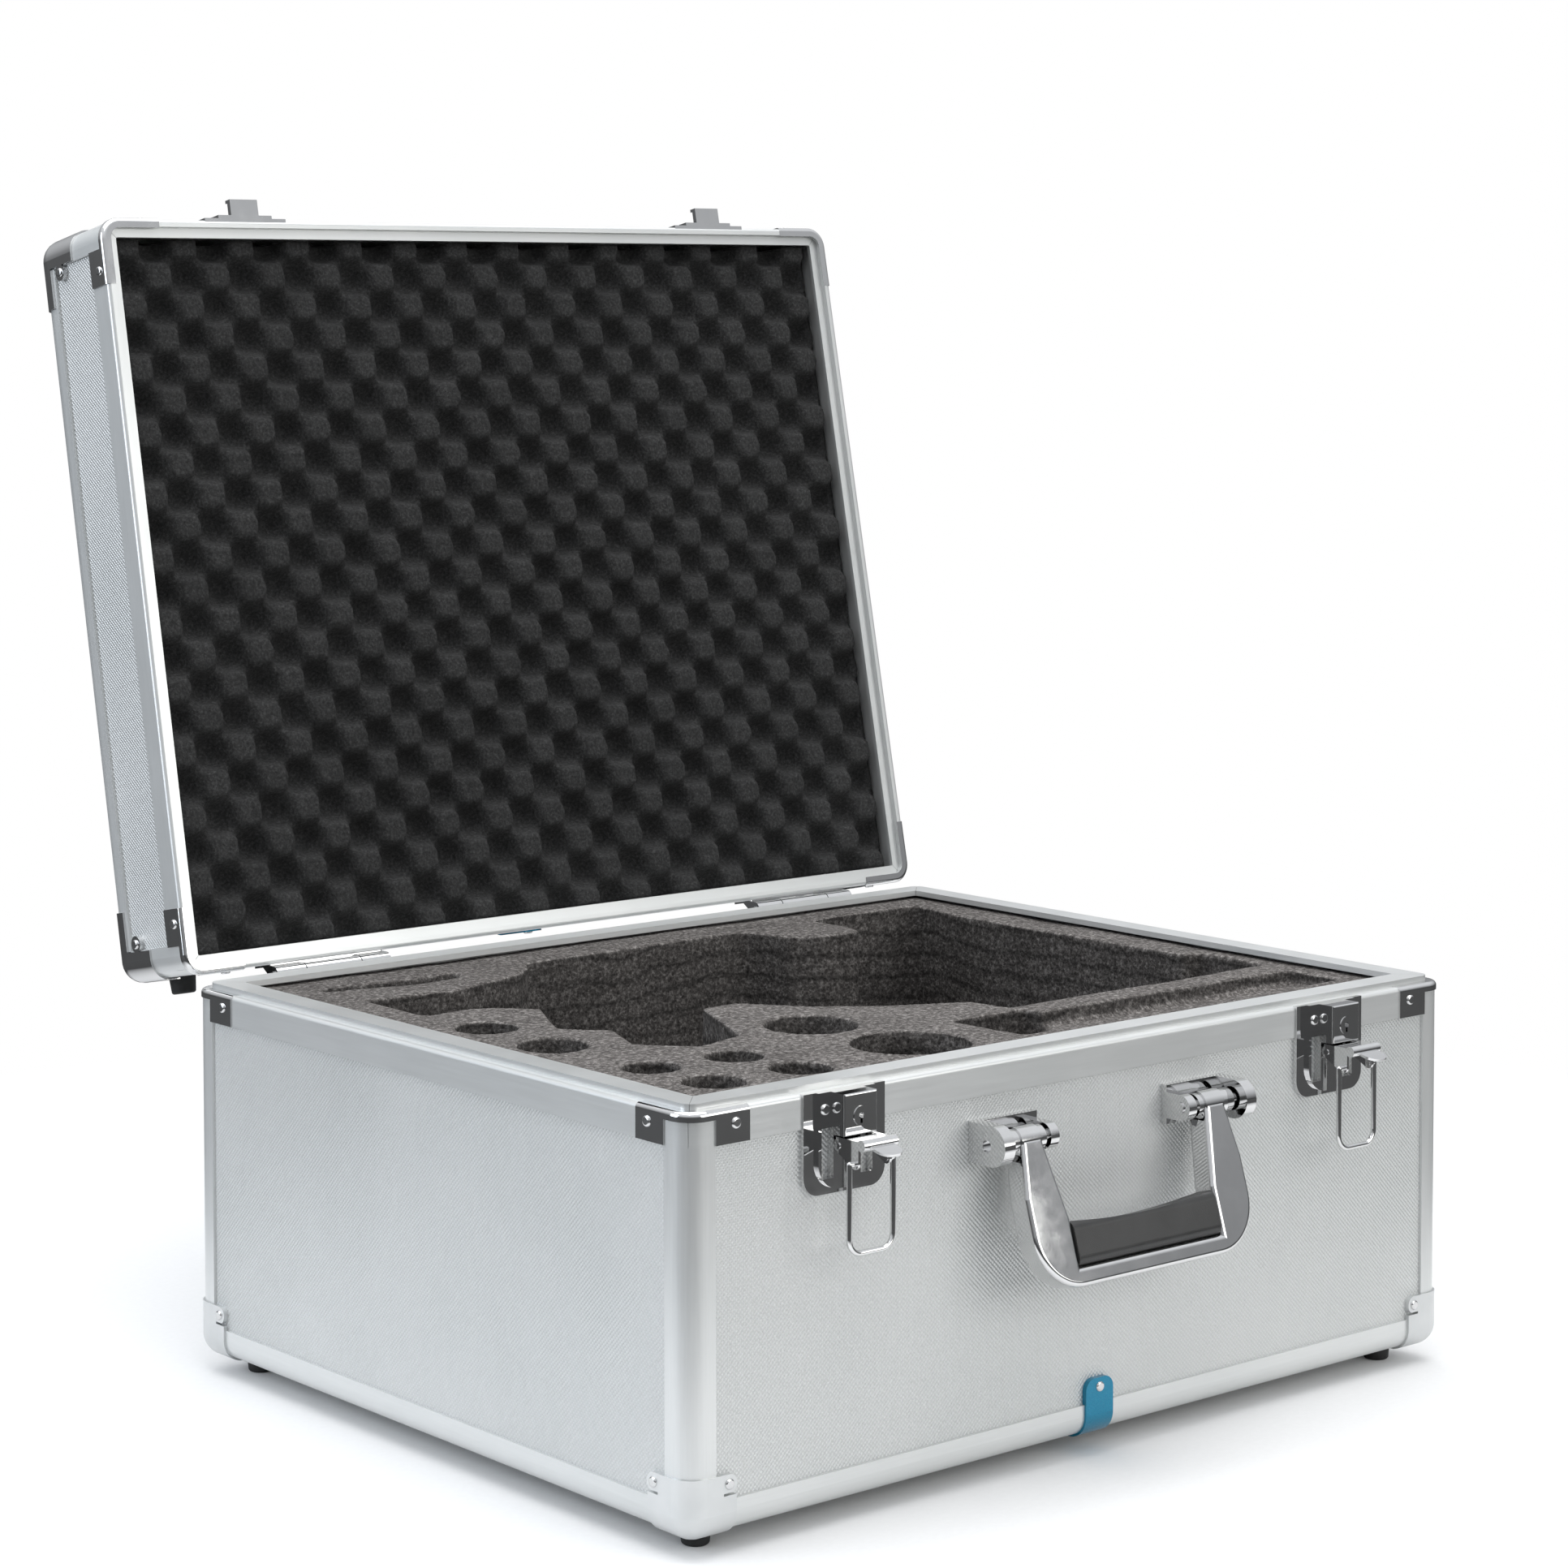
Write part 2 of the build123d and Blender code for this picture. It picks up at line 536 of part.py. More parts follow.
def lever(x):
    """The latch lever, open: cover, two cheeks, finger tongue and the lug that the cam blocks."""
    at = Pos(LEVER_OUT, LEVER_Z)
    body = across(at * lever_section(), x - CHEEK_FAR, x + CHEEK_FAR)
    cheek = hull(
        at * Circle(2 * PIN_R),
        at * Pos(BAIL_OUT, -BAIL_DOWN) * Circle(WIRE_R + LEAF_T),
        at * Pos(COVER_MID, CHEEK_UP) * Rectangle(CHEEK_L, COVER_T),
    )
    for side in (-1, 1):
        body += across(cheek, *sorted((x + side * CHEEK_NEAR, x + side * CHEEK_FAR)))
    body += lever_tongue(x)
    nose = Pos(-NOSE_L / 2, -NOSE_DOWN) * Rectangle(NOSE_L, NOSE_T)
    neck = Pos(LUG_NECK_OUT, LUG_NECK_H / 2) * Rectangle(LUG_NECK_W, LUG_NECK_H)
    lug = at * (Circle(LUG_HUB_R) + nose + neck)
    body += across(lug, x - LUG_W / 2, x + LUG_W / 2)
    body -= rod(x - BOX_W, x + BOX_W, LEVER_OUT, LEVER_Z, PIN_R + PIN_PLAY)
    bail_at = (LEVER_OUT + BAIL_OUT, LEVER_Z - BAIL_DOWN)
    return body - rod(x - BOX_W, x + BOX_W, *bail_at, WIRE_R + PIN_PLAY)


def lever_tongue(x):
    """The flat finger tongue, sloping down from the barrel, with a round end."""
    out, up = TONGUE_ROOT
    run, rise = TONGUE_TIP[0] - out, TONGUE_TIP[1] - up
    length = hypot(run, rise)
    blade = Pos(0, length / 2) * Rectangle(TONGUE_W, length)
    blade = fillet(blade.vertices().group_by(Axis.Y)[-1], TONGUE_R)
    flat = extrude(blade, TONGUE_T / 2, both=True)
    turned = Rot(degrees(atan2(rise, run)), 0, 0) * flat
    return Pos(x, -HALF_D - LEVER_OUT - out, LEVER_Z + up) * Rot(0, 0, 180) * turned


def lever_pin(x):
    return rod(x - PIN_HALF, x + PIN_HALF, LEVER_OUT, LEVER_Z, PIN_R)


def bail(x):
    """The wire loop, hanging straight down from the open lever."""
    out, z = LEVER_OUT + BAIL_OUT, LEVER_Z - BAIL_DOWN
    y = -HALF_D - out
    low = z - BAIL_L
    corners = [(x - BAIL_HALF, y, z), (x - BAIL_HALF, y, low), (x + BAIL_HALF, y, low)]
    path = FilletPolyline(*corners, (x + BAIL_HALF, y, z), radius=BAIL_BEND)
    wire = sweep(Plane((x - BAIL_HALF, y, z), z_dir=(0, 0, -1)) * Circle(WIRE_R), path=path)
    for side in (-1, 1):
        low_x, high_x = sorted((x + side * BAIL_END, x + side * BAIL_HALF))
        wire += rod(low_x, high_x, out, z, WIRE_R)
        wire += Pos(x + side * BAIL_HALF, y, z) * Sphere(WIRE_R)
    return wire


def keeper(x):
    """The hook plate on the lid's front, drawn shut."""
    low = LID_Z + KEEPER_UP
    plate = Rectangle(KEEPER_W, KEEPER_H)
    plate = fillet(plate.vertices().group_by(Axis.Y)[-1], KEEPER_R)
    body = Rectangle(BODY_W, KEEPER_BODY_H)
    body = fillet(body.vertices().group_by(Axis.Y)[-1], KEEPER_BODY_R)
    piece = facing(plate, x, low + KEEPER_H / 2, -SKIN, SKIN + LEAF_T)
    piece += facing(body, x, low + KEEPER_BODY_H / 2, -SKIN, SKIN + BODY_OUT)
    span = (x - HOOK_HALF, x + HOOK_HALF)
    hook = box(span, (-HALF_D - HOOK_OUT, -HALF_D), (low, HOOK_TOP))
    lip = box(span, (-HALF_D - HOOK_OUT, -HALF_D - LIP_OUT), (low, LIP_TOP))
    return piece + hook + lip


# ---------------------------------------------------------------- handle
def lug_section(reach, z, radius):
    """A lug that stands out from the case and ends in a half round."""
    return Pos(reach - radius, z) * Circle(radius) + Pos((reach - radius) / 2, z) * Rectangle(
        reach - radius, 2 * radius
    )


def bracket(side):
    """A handle bracket: foot plate, D-shaped outer lug and small inner lug."""
    middle_x = side * (BRACKET_IN + BRACKET_FAR) / 2
    middle_z = BRACKET_LOW + BRACKET_H / 2
    plate = Rectangle(BRACKET_FAR - BRACKET_IN, BRACKET_H)
    piece = facing(plate, middle_x, middle_z, -SKIN, SKIN + BRACKET_T)
    outer = lug_section(OUTER_LUG_OUT, middle_z, BRACKET_H / 2)
    inner = lug_section(PIVOT_OUT + INNER_LUG_R, PIVOT_Z, INNER_LUG_R)
    piece += across(outer, *sorted((side * OUTER_LUG_NEAR, side * BRACKET_FAR)))
    piece += across(inner, *sorted((side * BRACKET_IN, side * INNER_LUG_FAR)))
    return piece - rod(-REACH, REACH, PIVOT_OUT, PIVOT_Z, PIVOT_R)


def bow_outline():
    """The bow seen square on, with its hinge line at the top: outside less inside."""
    outside = [(BOW_TOP, 0), (BOW_HALF, -BOW_SHOULDER), (BOW_HALF, -BOW_L)]
    inside = [(MOUTH_TOP, 1), (MOUTH_HALF, -MOUTH_WAIST), (MOUTH_HALF, -MOUTH_L)]
    frame, mouth = (
        make_face(Polyline(*half, *[(-x, y) for x, y in reversed(half)], close=True))
        for half in (outside, inside)
    )
    frame = fillet(frame.vertices().group_by(Axis.Y)[0], BOW_ROUND)
    return frame - mouth


def handle_turned(piece):
    """From hanging upright to the stop."""
    pivot = Axis((0, -HALF_D - PIVOT_OUT, PIVOT_Z), (1, 0, 0))
    return piece.rotate(pivot, -HANDLE_TILT)


def handle_bow():
    """The chrome bow with a hub on each arm and a heel that rests on the bracket."""
    frame = facing(bow_outline(), 0, PIVOT_Z, PIVOT_OUT - BOW_T / 2, BOW_T)
    for y_side in (0, -1):
        frame = fillet(frame.edges().group_by(Axis.Y)[y_side], BOW_EDGE)
    for side in (-1, 1):
        head = sorted((side * MOUTH_TOP, side * BOW_TOP))
        hub = sorted(side * end for end in HUB_ENDS)
        frame += rod(*head, PIVOT_OUT, PIVOT_Z, BOW_T / 2)
        frame += rod(*hub, PIVOT_OUT, PIVOT_Z, HUB_R)
    frame = handle_turned(frame)
    near, far = HEEL_OUT
    for side in (-1, 1):
        span = sorted(side * end for end in HEEL_ENDS)
        frame += box(span, (-HALF_D - far, -HALF_D - near), HEEL_Z)
    return frame - rod(-REACH, REACH, PIVOT_OUT, PIVOT_Z, PIVOT_R + PIN_PLAY)


def handle_grip():
    """The moulded grip between the arms. Its upper edge dips in the middle."""
    middle = PIVOT_Z + (GRIP_TOP + GRIP_LOW) / 2
    section = Pos(PIVOT_OUT, middle) * Rectangle(GRIP_T, GRIP_TOP - GRIP_LOW)
    section = fillet(section.vertices(), GRIP_R)
    grip = across(section, -GRIP_HALF, GRIP_HALF)
    scoop_z = PIVOT_Z + GRIP_TOP - GRIP_DIP + GRIP_DIP_R
    grip -= facing(Circle(GRIP_DIP_R), 0, scoop_z, -LEG, 3 * LEG)
    return handle_turned(grip)


def pivot_pin(side):
    return rod(*sorted(side * end for end in PIVOT_ENDS), PIVOT_OUT, PIVOT_Z, PIVOT_R)


# ---------------------------------------------------------------- foam
def pocket(outline, depth):
    return extrude(Pos(0, 0, FOAM_TOP + 1) * outline, -(depth + 1))


def outline(points, radius):
    """A closed outline with every corner rounded."""
    shape = make_face(Polyline(*points, close=True))
    return fillet(shape.vertices(), radius)


def deep_pocket():
    """The big pocket for the instrument, down to the pad."""
    return outline(
        [
            (-75, 158), (82, 160), (90, 130), (106, 119), (136, 119), (141, 134), (141, 166),
            (222, 166), (216, 120), (218, -57), (232, -57), (232, -103), (37, -105), (34, -80),
            (-5, -60), (-38, -38), (-62, -3), (-86, -3), (-118, -72), (-148, -78), (-170, -55),
            (-155, -20), (-174, 0), (-148, 50),
        ],
        4.0,
    )


def side_shelf():
    """The shallow pocket that opens into the deep one at the left."""
    return outline(
        [
            (-207, 122), (-150, 117), (-100, 133), (-74, 152), (-120, 60), (-150, 48),
            (-165, 65), (-180, 72), (-207, 69),
        ],
        3.5,
    )


def curved_slit():
    return outline([(-207, 167), (-165, 160), (-124, 158), (-130, 147), (-165, 148), (-207, 159)], 3.0)


def foam_block(z_low, z_high):
    """A full layer of foam."""
    layer = RectangleRounded(CASE_W - 2 * FOAM_IN, CASE_D - 2 * FOAM_IN, FOAM_CORNER_R)
    return extrude(Pos(0, 0, z_low) * layer, z_high - z_low)


def foam_insert():
    """The die-cut foam: one deep pocket, a shelf, a slit, eight round wells and a square one."""
    foam = foam_block(PAD_TOP, FOAM_TOP)
    foam -= pocket(deep_pocket(), FOAM_TOP - PAD_TOP + 1)
    foam -= pocket(side_shelf(), SHELF_DEEP)
    foam -= pocket(curved_slit(), SLIT_DEEP)
    wells = [
        (-202, 24, 15, WELL_DEEP), (-204, -33, 17, WELL_DEEP), (-200, -105, 13.5, WELL_DEEP),
        (-152, -109, 13.5, WELL_DEEP), (-198, -149, 14.5, WELL_DEEP), (-146, -151, 14.5, WELL_DEEP),
        (-72, -74, 23, WIDE_WELL_DEEP), (-65, -140, 29, WIDEST_WELL_DEEP),
    ]
    for x, y, radius, depth in wells:
        foam -= pocket(Pos(x, y) * Circle(radius), depth)
    square = outline([(-12, -113), (39, -114), (37, -161), (-8, -161)], 3.0)
    foam -= pocket(square, WIDEST_WELL_DEEP)
    foam -= pocket(Pos(131, -143) * RectangleRounded(194, 35, 6), CHANNEL_DEEP)
    return foam


# ---------------------------------------------------------------- the base
def build_base():
    rails = end_rails(FOOT_H, -1)
    posts = corner_posts(FOOT_H + LEG + CAST_WEB, PARTING_Z - RIM_LEG)
    rim = base_rim()
    frame = rails + posts + rim
    core = base_form(-SKIN)

    def seated(piece):
        """A fitting with the case's own metal cut away behind it."""
        return (piece - core) - frame

    rivets = corner_rivets(EAR_AT, FOOT_H + EAR_UP, CAST_T)
    rivets += corner_rivets(CLIP_RIVET_AT, PARTING_Z - CLIP_RIVET_UP, CLIP_T)
    for side in (-1, 1):
        rivets += face_rivets([0], FOOT_H + CLAMP_RIVET_UP, CAST_T, side)
    rivets += face_rivets(LATCH_RIVETS, LATCH_RIVET_Z, BODY_OUT)
    hinge_rivets = face_rivets(HINGE_RIVETS, PARTING_Z - HINGE_RIVET_DOWN, LEAF_T, 1)
    holes = rivets + hinge_rivets

    for name, panel in wall_panels(FOOT_H + EDGE_R, PARTING_Z - RIM_WEB).items():
        NODES[f"base_{name}_panel"] = drilled(panel, holes)
    NODES["base_bottom_panel"] = end_panel(FOOT_H + SKIN)
    NODES["base_corner_posts"] = group(drilled(post, holes) for post in posts)
    NODES["base_bottom_rails"] = group(drilled(rail, holes) for rail in rails)
    NODES["base_rim_rails"] = group(drilled(part, holes) for part in rim)

    casting = seated(base_form(CAST_T) & casting_region())
    NODES["base_corner_castings"] = group(drilled(part, holes) for part in at_all_corners(casting))
    NODES["base_rim_clips"] = group(drilled(part, holes) for part in at_all_corners(base_clip()))
    clamp = seated(base_form(CAST_T) & clamp_region(FOOT_H, -1))
    NODES["base_blue_clamps"] = group(drilled(part, holes) for part in front_back(clamp))
    foot_x, foot_y = HALF_W - FOOT_INSET, HALF_D - FOOT_INSET
    NODES["base_feet"] = group(
        foot((sx * foot_x, sy * foot_y, FOOT_H + SKIN), (0, 0, -1)) for sx, sy in CORNERS
    )
    NODES["base_back_feet"] = group(
        foot((side * BACK_FOOT_X, HALF_D - SKIN, BACK_FOOT_Z), (0, 1, 0)) for side in (-1, 1)
    )
    NODES["foam_insert"] = foam_insert()
    NODES["foam_pad"] = foam_block(FOOT_H + WALL, PAD_TOP)

    for side, name in ((-1, "left"), (1, "right")):
        x = side * LATCH_X
        NODES[f"latch_plate_{name}"] = drilled(seated(latch_plate(x)), holes)
        NODES[f"lock_box_{name}"] = lock_box(x)
        NODES[f"lever_pin_{name}"] = lever_pin(x)
        NODES[f"handle_bracket_{name}"] = seated(bracket(side))
        hinge_x = side * HINGE_X
        base_leaf = leaf(hinge_x, PARTING_Z + LEAF_LOW, -1, [(-KNUCKLE_HALF, KNUCKLE_HALF)])
        base_leaf = seated(base_leaf) - hinge_hole(hinge_x, 0)
        NODES[f"hinge_base_leaf_{name}"] = drilled(base_leaf, holes)
        NODES[f"hinge_pin_{name}"] = hinge_pin(hinge_x)
    NODES["handle_pivot_pins"] = group(pivot_pin(side) for side in (-1, 1))
    NODES["base_rivets"] = group(rivet(*spot) for spot in rivets)
    NODES["hinge_base_rivets"] = group(rivet(*spot) for spot in hinge_rivets)


# ---------------------------------------------------------------- the lid
def build_lid():
    rails = end_rails(LID_TOP, 1)
    posts = corner_posts(LID_Z + RIM_LEG, LID_TOP - LEG)
    rim = lid_rim()
    frame = rails + posts + rim
    core = lid_form(-SKIN)

    def seated(piece):
        return (piece - core) - frame

    rivets = corner_rivets(BALL_EAR_AT, LID_TOP - EAR_UP, CAST_T, rear=False)
    rivets += corner_rivets(CLIP_RIVET_AT, LID_Z + CLIP_RIVET_UP, CLIP_T)
    for side in (-1, 1):
        rivets += face_rivets([0], LID_TOP - CLAMP_RIVET_UP, CAST_T, side)
    rivets += face_rivets(LATCH_RIVETS, LID_Z + KEEPER_RIVET_UP, BODY_OUT)
    hinge_rivets = face_rivets(HINGE_RIVETS, LID_Z + HINGE_RIVET_UP, LEAF_T, 1)
    holes = rivets + hinge_rivets

    shut = {}
    for name, panel in wall_panels(LID_Z + LID_RIM_WEB, LID_TOP - EDGE_R).items():
        shut[f"lid_{name}_panel"] = drilled(panel, holes)
    shut["lid_top_panel"] = end_panel(LID_TOP - SKIN - PANEL_T)
    shut["lid_corner_posts"] = group(drilled(post, holes) for post in posts)
    shut["lid_top_rails"] = group(drilled(rail, holes) for rail in rails)
    shut["lid_rim_rails"] = group(drilled(part, holes) for part in rim)

    skin = lid_form(CAST_T)
    rear_ball = seated(skin & ball_region(False))
    front_ball = mirror(seated(skin & ball_region(True)), about=Plane.XZ)
    balls = [rear_ball, front_ball]
    balls += [mirror(ball, about=Plane.YZ) for ball in balls]
    shut["lid_ball_corners"] = group(drilled(ball, holes) for ball in balls)
    meeting = Plane((0, 0, PARTING_Z + RIM_GAP / 2))
    clip = mirror(base_clip(), about=meeting)
    shut["lid_rim_clips"] = group(drilled(part, holes) for part in at_all_corners(clip))
    clamp = seated(skin & clamp_region(LID_TOP, 1))
    shut["lid_blue_clamps"] = group(drilled(part, holes) for part in front_back(clamp))
    shut["lid_back_feet"] = group(
        foot((side * (HALF_W - FOOT_INSET), HALF_D - SKIN, PARTING_Z + BACK_FOOT_UP), (0, 1, 0))
        for side in (-1, 1)
    )
    shut["lid_foam"] = foam_block(LID_FOAM_LOW, LID_TOP - WALL)
    for side, name in ((-1, "left"), (1, "right")):
        shut[f"keeper_{name}"] = drilled(seated(keeper(side * LATCH_X)), holes)
        hinge_x, half = side * HINGE_X, HINGE_L / 2
        near = KNUCKLE_HALF + KNUCKLE_PLAY
        lid_leaf = leaf(hinge_x, PARTING_Z + LEAF_HIGH, 1, [(-half, -near), (near, half)])
        lid_leaf = seated(lid_leaf) - hinge_hole(hinge_x, PIN_PLAY)
        shut[f"hinge_lid_leaf_{name}"] = drilled(lid_leaf, holes)
    shut["lid_rivets"] = group(rivet(*spot) for spot in rivets)
    shut["hinge_lid_rivets"] = group(rivet(*spot) for spot in hinge_rivets)
    for name, shape in shut.items():
        NODES[name] = swung_open(shape)


# ---------------------------------------------------------------- moving hardware
def build_moving():
    for side, name in ((-1, "left"), (1, "right")):
        x = side * LATCH_X
        NODES[f"lever_{name}"] = lever(x)
        NODES[f"bail_{name}"] = bail(x)
        NODES[f"lock_plug_{name}"] = lock_plug(x)
    NODES["handle_bow"] = handle_bow()
    NODES["handle_grip"] = handle_grip()


build_base()
build_lid()
build_moving()

os.makedirs("parts", exist_ok=True)
for node_name, shape in NODES.items():
    export_step(moved_forward(shape), f"parts/{node_name}.step")
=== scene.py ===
"""An aluminium-framed transport case, open: finishes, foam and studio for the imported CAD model."""

import json
import math

import bpy
from mathutils import Matrix, Vector, noise


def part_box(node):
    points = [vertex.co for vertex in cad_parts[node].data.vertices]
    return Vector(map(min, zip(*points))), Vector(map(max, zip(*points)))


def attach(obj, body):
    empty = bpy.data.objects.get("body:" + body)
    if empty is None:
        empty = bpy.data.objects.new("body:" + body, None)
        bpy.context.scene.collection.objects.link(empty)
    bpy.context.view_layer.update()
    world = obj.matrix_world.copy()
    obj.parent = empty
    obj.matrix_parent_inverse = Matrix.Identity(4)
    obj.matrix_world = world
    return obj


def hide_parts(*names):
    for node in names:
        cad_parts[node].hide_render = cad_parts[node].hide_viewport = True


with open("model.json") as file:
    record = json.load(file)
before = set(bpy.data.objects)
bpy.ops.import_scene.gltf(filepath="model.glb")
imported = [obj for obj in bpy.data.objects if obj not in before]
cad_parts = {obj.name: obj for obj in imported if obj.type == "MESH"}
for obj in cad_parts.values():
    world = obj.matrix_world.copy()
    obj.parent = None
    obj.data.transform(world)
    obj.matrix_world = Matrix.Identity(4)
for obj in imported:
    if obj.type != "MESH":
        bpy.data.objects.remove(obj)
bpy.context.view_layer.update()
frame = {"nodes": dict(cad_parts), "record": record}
NODES = frame["nodes"]

MM = 0.001

# The middle of the base, on the floor. The studio and the foam's pattern are set out from it.
base_low, base_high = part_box("base_bottom_panel")
MIDDLE = Vector(((base_low[0] + base_high[0]) / 2, (base_low[1] + base_high[1]) / 2, 0.0))

# The lid is drawn open. Turning by this angle about the hinge shuts it.
LID_OPEN = math.radians(101.5)
HINGE = Vector(next(joint["pos_m"] for joint in frame["record"]["behaviour"]["joints"]
                    if joint["name"] == "lid_hinge"))

# Camera, as the photograph was taken.
CAMERA_AT = MIDDLE + Vector((-1.3047, -1.4793, 0.5628))
CAMERA_AZIMUTH = math.radians(-39.37)
CAMERA_DOWN = math.radians(2.87)
CAMERA_ROLL = math.radians(-0.109)
CAMERA_LENS, SENSOR = 86.07, 36.0
CAMERA_SHIFT = (0.0615, -0.185)

# Finishes
EMBOSS_PITCH = 1.7 * MM  # between the ridges of the sheet, along X
EMBOSS_HEIGHT = 0.11 * MM
FALLING_SHARE, RISING_SHARE = 1.0, 0.7  # the two families of ridges aren't equally strong
ALONG, ACROSS = 0.4, 12  # how much drawn lines are squeezed along and across an extrusion

# Foam
PIT_X, PIT_Y = 18.5 * MM, 17.5 * MM  # half pitch of the egg-crate foam each way
PIT_DEPTH = 19 * MM
CRATE_CELL = 2.2 * MM
INSERT_CELL = 1.9 * MM
PAD_CELL = 5 * MM
LAYER = 12.5 * MM  # thickness of the foam's laminations
CUT_WAVER = 1.1 * MM  # how far a cut wall moves in
CUT_SCALE = 28.0  # waves of that in a metre
PIT_EDGE, PIT_STEEPNESS, PIT_ROUND = 0.25, 0.8, 0.25  # where a pit starts, and the shape of its side
CRATE_WANDER, CRATE_SWELL = 1.5 * MM, 0.6 * MM

# Studio, from the middle of the base
LIGHT_TARGET = Vector((0, 0, 0.15))
FLOOR_REACH = 12.0
WHITE_FROM, WHITE_TO = 0.45, 0.95  # the floor fades to plain white between these distances
GLOSS_FROM, GLOSS_TO = 0.5, 0.75  # in reflections it darkens between these


# ---------------------------------------------------------------- node helpers
class Finish:
    """A material's node tree, with short calls for the nodes that the finishes share."""

    def __init__(self, name, **sockets):
        self.material = bpy.data.materials.new(name)
        self.material.use_nodes = True
        self.tree = self.material.node_tree
        self.shader = self.tree.nodes["Principled BSDF"]
        for socket, value in sockets.items():
            self.shader.inputs[socket.replace("_", " ")].default_value = value

    def node(self, kind, *inputs, **settings):
        """A new node. Positional inputs are sockets to link or plain values, in the node's order."""
        made = self.tree.nodes.new(kind)
        for setting, value in settings.items():
            setattr(made, setting, value)
        for socket, value in zip(made.inputs, inputs):
            self.feed(socket, value)
        return made

    def feed(self, socket, value):
        if isinstance(value, bpy.types.NodeSocket):
            self.tree.links.new(value, socket)
        elif value is not None:
            socket.default_value = value

    def math(self, operation, a, b=None):
        return self.node("ShaderNodeMath", a, b, operation=operation).outputs[0]

    def place(self, turn=0.0, scale=(1, 1, 1)):
        """Object coordinates in metres, turned about X and stretched."""
        where = self.node("ShaderNodeTexCoord").outputs["Object"]
        turned = self.node("ShaderNodeMapping", where, None, (turn, 0, 0)).outputs[0]
        return self.node("ShaderNodeMapping", turned, None, None, scale).outputs[0]

    def noise(self, where, scale, detail=2.0, roughness=0.5):
        made = self.node("ShaderNodeTexNoise", where)
        made.inputs["Scale"].default_value = scale
        made.inputs["Detail"].default_value = detail
        made.inputs["Roughness"].default_value = roughness
        return made.outputs["Fac"]

    def cells(self, where, scale):
        made = self.node("ShaderNodeTexVoronoi", where)
        made.inputs["Scale"].default_value = scale
        return made.outputs["Distance"]

    def ramp(self, factor, *stops):
        """Colours or greys at positions along a factor."""
        made = self.node("ShaderNodeValToRGB", factor)
        ends = made.color_ramp.elements
        while len(ends) < len(stops):
            ends.new(0.5)
        for end, (position, colour) in zip(ends, stops):
            grey = isinstance(colour, (int, float))
            end.position = position
            end.color = (colour, colour, colour, 1) if grey else (*colour, 1)
        return made.outputs["Color"]

    def multiply(self, a, b, amount=1.0):
        made = self.node("ShaderNodeMix", data_type="RGBA", blend_type="MULTIPLY")
        made.inputs["Factor"].default_value = amount
        self.feed(made.inputs["A"], a)
        self.feed(made.inputs["B"], b)
        return made.outputs["Result"]

    def bump(self, height, distance, strength=1.0, over=None):
        made = self.node("ShaderNodeBump")
        made.inputs["Strength"].default_value = strength
        made.inputs["Distance"].default_value = distance
        self.feed(made.inputs["Height"], height)
        if over is not None:
            self.feed(made.inputs["Normal"], over)
        return made.outputs["Normal"]

    def use(self, **sockets):
        """Links sockets of the shader, and returns the material."""
        for socket, value in sockets.items():
            self.feed(self.shader.inputs[socket.replace("_", " ")], value)
        return self.material


# ---------------------------------------------------------------- metals
def embossed_sheet(name, u, v, turn=0.0):
    """Silver sheet with a fine diamond emboss across the plane of axes u and v, and painted shade in the
    emboss's troughs.
    """
    finish = Finish(name, Metallic=0.45)
    where = finish.place(turn)
    axes = finish.node("ShaderNodeSeparateXYZ", where).outputs
    falling = finish.math("ADD", axes[u], axes[v])
    rising = finish.math("SUBTRACT", axes[u], axes[v])
    ridges = []
    for line, share in ((falling, FALLING_SHARE), (rising, RISING_SHARE)):
        angle = finish.math("MULTIPLY", line, 2 * math.pi / (EMBOSS_PITCH * math.sqrt(2)))
        ridges.append(finish.math("MULTIPLY", finish.math("SINE", angle), share))
    emboss = finish.math("ADD", *ridges)
    cloud = finish.noise(where, 9.0, 3.0)
    grain = finish.noise(where, 900.0, 2.0)
    tone = finish.ramp(cloud, (0.3, (0.66, 0.675, 0.67)), (0.7, (0.71, 0.72, 0.715)))
    colour = finish.multiply(tone, finish.ramp(grain, (0.3, 0.9), (0.7, 1.0)), 0.5)
    # Painted shade: the colour is darkened by a tenth in the troughs of the emboss.
    colour = finish.multiply(colour, finish.ramp(emboss, (0.0, 0.9), (1.0, 1.0)))
    pressed = finish.bump(emboss, EMBOSS_HEIGHT)
    normal = finish.bump(grain, 0.02 * MM, over=pressed)
    rough = finish.ramp(cloud, (0.3, 0.36), (0.7, 0.44))
    return finish.use(Base_Color=colour, Roughness=rough, Normal=normal)


def satin_extrusion(name, stretch, turn=0.0):
    """Satin anodised extrusion with faint lines along its length."""
    finish = Finish(name, Metallic=0.5)
    lines = finish.noise(finish.place(turn, stretch), 60.0, 4.0, 0.65)
    cloud = finish.noise(finish.place(turn), 14.0, 2.0)
    tone = finish.ramp(cloud, (0.3, (0.67, 0.685, 0.68)), (0.7, (0.71, 0.72, 0.715)))
    colour = finish.multiply(tone, finish.ramp(lines, (0.35, 0.9), (0.65, 1.0)), 0.3)
    rough = finish.ramp(lines, (0.3, 0.3), (0.7, 0.36))
    normal = finish.bump(lines, 0.004 * MM)
    return finish.use(Base_Color=colour, Roughness=rough, Normal=normal)


def cast_metal():
    """Satin die casting with a fine orange-peel skin."""
    finish = Finish("cast_corner", Metallic=0.75)
    where = finish.place()
    skin = finish.noise(where, 420.0, 3.0)
    cloud = finish.noise(where, 45.0, 2.0)
    colour = finish.ramp(cloud, (0.3, (0.62, 0.635, 0.635)), (0.7, (0.7, 0.71, 0.71)))
    rough = finish.ramp(skin, (0.3, 0.3), (0.7, 0.36))
    return finish.use(Base_Color=colour, Roughness=rough)


